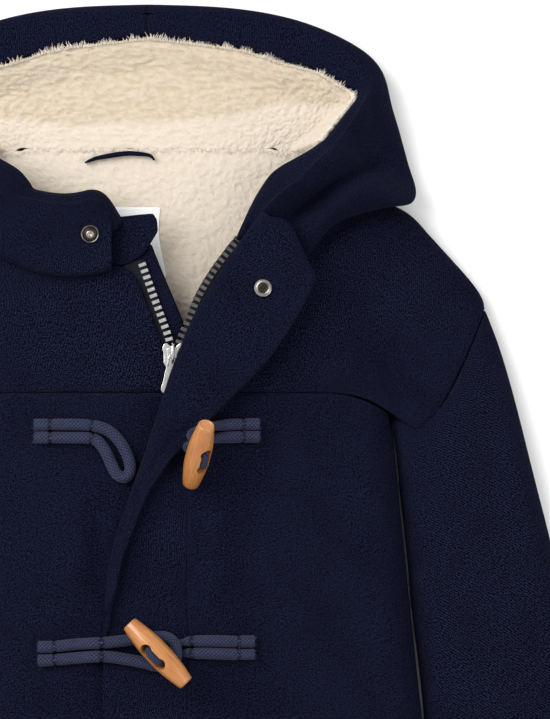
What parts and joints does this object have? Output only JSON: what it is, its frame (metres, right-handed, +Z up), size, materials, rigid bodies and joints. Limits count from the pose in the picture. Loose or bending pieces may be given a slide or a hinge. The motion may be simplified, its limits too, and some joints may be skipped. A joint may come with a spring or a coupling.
{
  "type": "duffle coat",
  "caption": "Child's navy wool duffle coat laid flat, face up: zip part open under a flap turned back at the top, cream pile lining in the open hood, wooden toggles on cord loops.",
  "frame": {"origin": "middle of the bounding box, on the surface that the coat lies on", "axes": "+Y from the hem to the hood, +Z up from the surface through the back to the front, +X to the wearer's left"},
  "size_m": [0.518, 0.5896, 0.0737],
  "materials": {
    "navy_wool": "matt napped wool twill",
    "cream_sherpa": "matt curled pile",
    "white_satin": "satin",
    "nickel": "bright nickel",
    "old_silver": "antique silver",
    "varnished_wood": "clear satin varnish",
    "navy_braid": "matt braided cord"
  },
  "bodies": {
    "root": {"back": "navy_wool", "front_left": "navy_wool", "front_right": "navy_wool", "yoke_left": "navy_wool", "yoke_right": "navy_wool", "sleeve_left": "navy_wool", "sleeve_right": "navy_wool", "hood_left": "navy_wool", "hood_right": "navy_wool", "hood_facing_left": "navy_wool", "hood_facing_right": "navy_wool", "flap": "navy_wool", "zip_guard": "navy_wool", "chin_tab": "navy_wool", "zip_tape_left": "navy_wool", "zip_tape_right": "navy_wool", "hanger_loop": "navy_wool", "hood_lining": "cream_sherpa", "back_lining": "cream_sherpa", "label": "white_satin", "zip_slider": "nickel", "zip_pull": "nickel", "snap_stud": "old_silver", "snap_socket": "old_silver", "toggle_1": "varnished_wood", "toggle_2": "varnished_wood", "toggle_3": "varnished_wood", "loop_cord_1": "navy_braid", "loop_cord_2": "navy_braid", "loop_cord_3": "navy_braid", "toggle_cord_1": "navy_braid", "toggle_cord_2": "navy_braid", "toggle_cord_3": "navy_braid"}
  },
  "joints": []
}
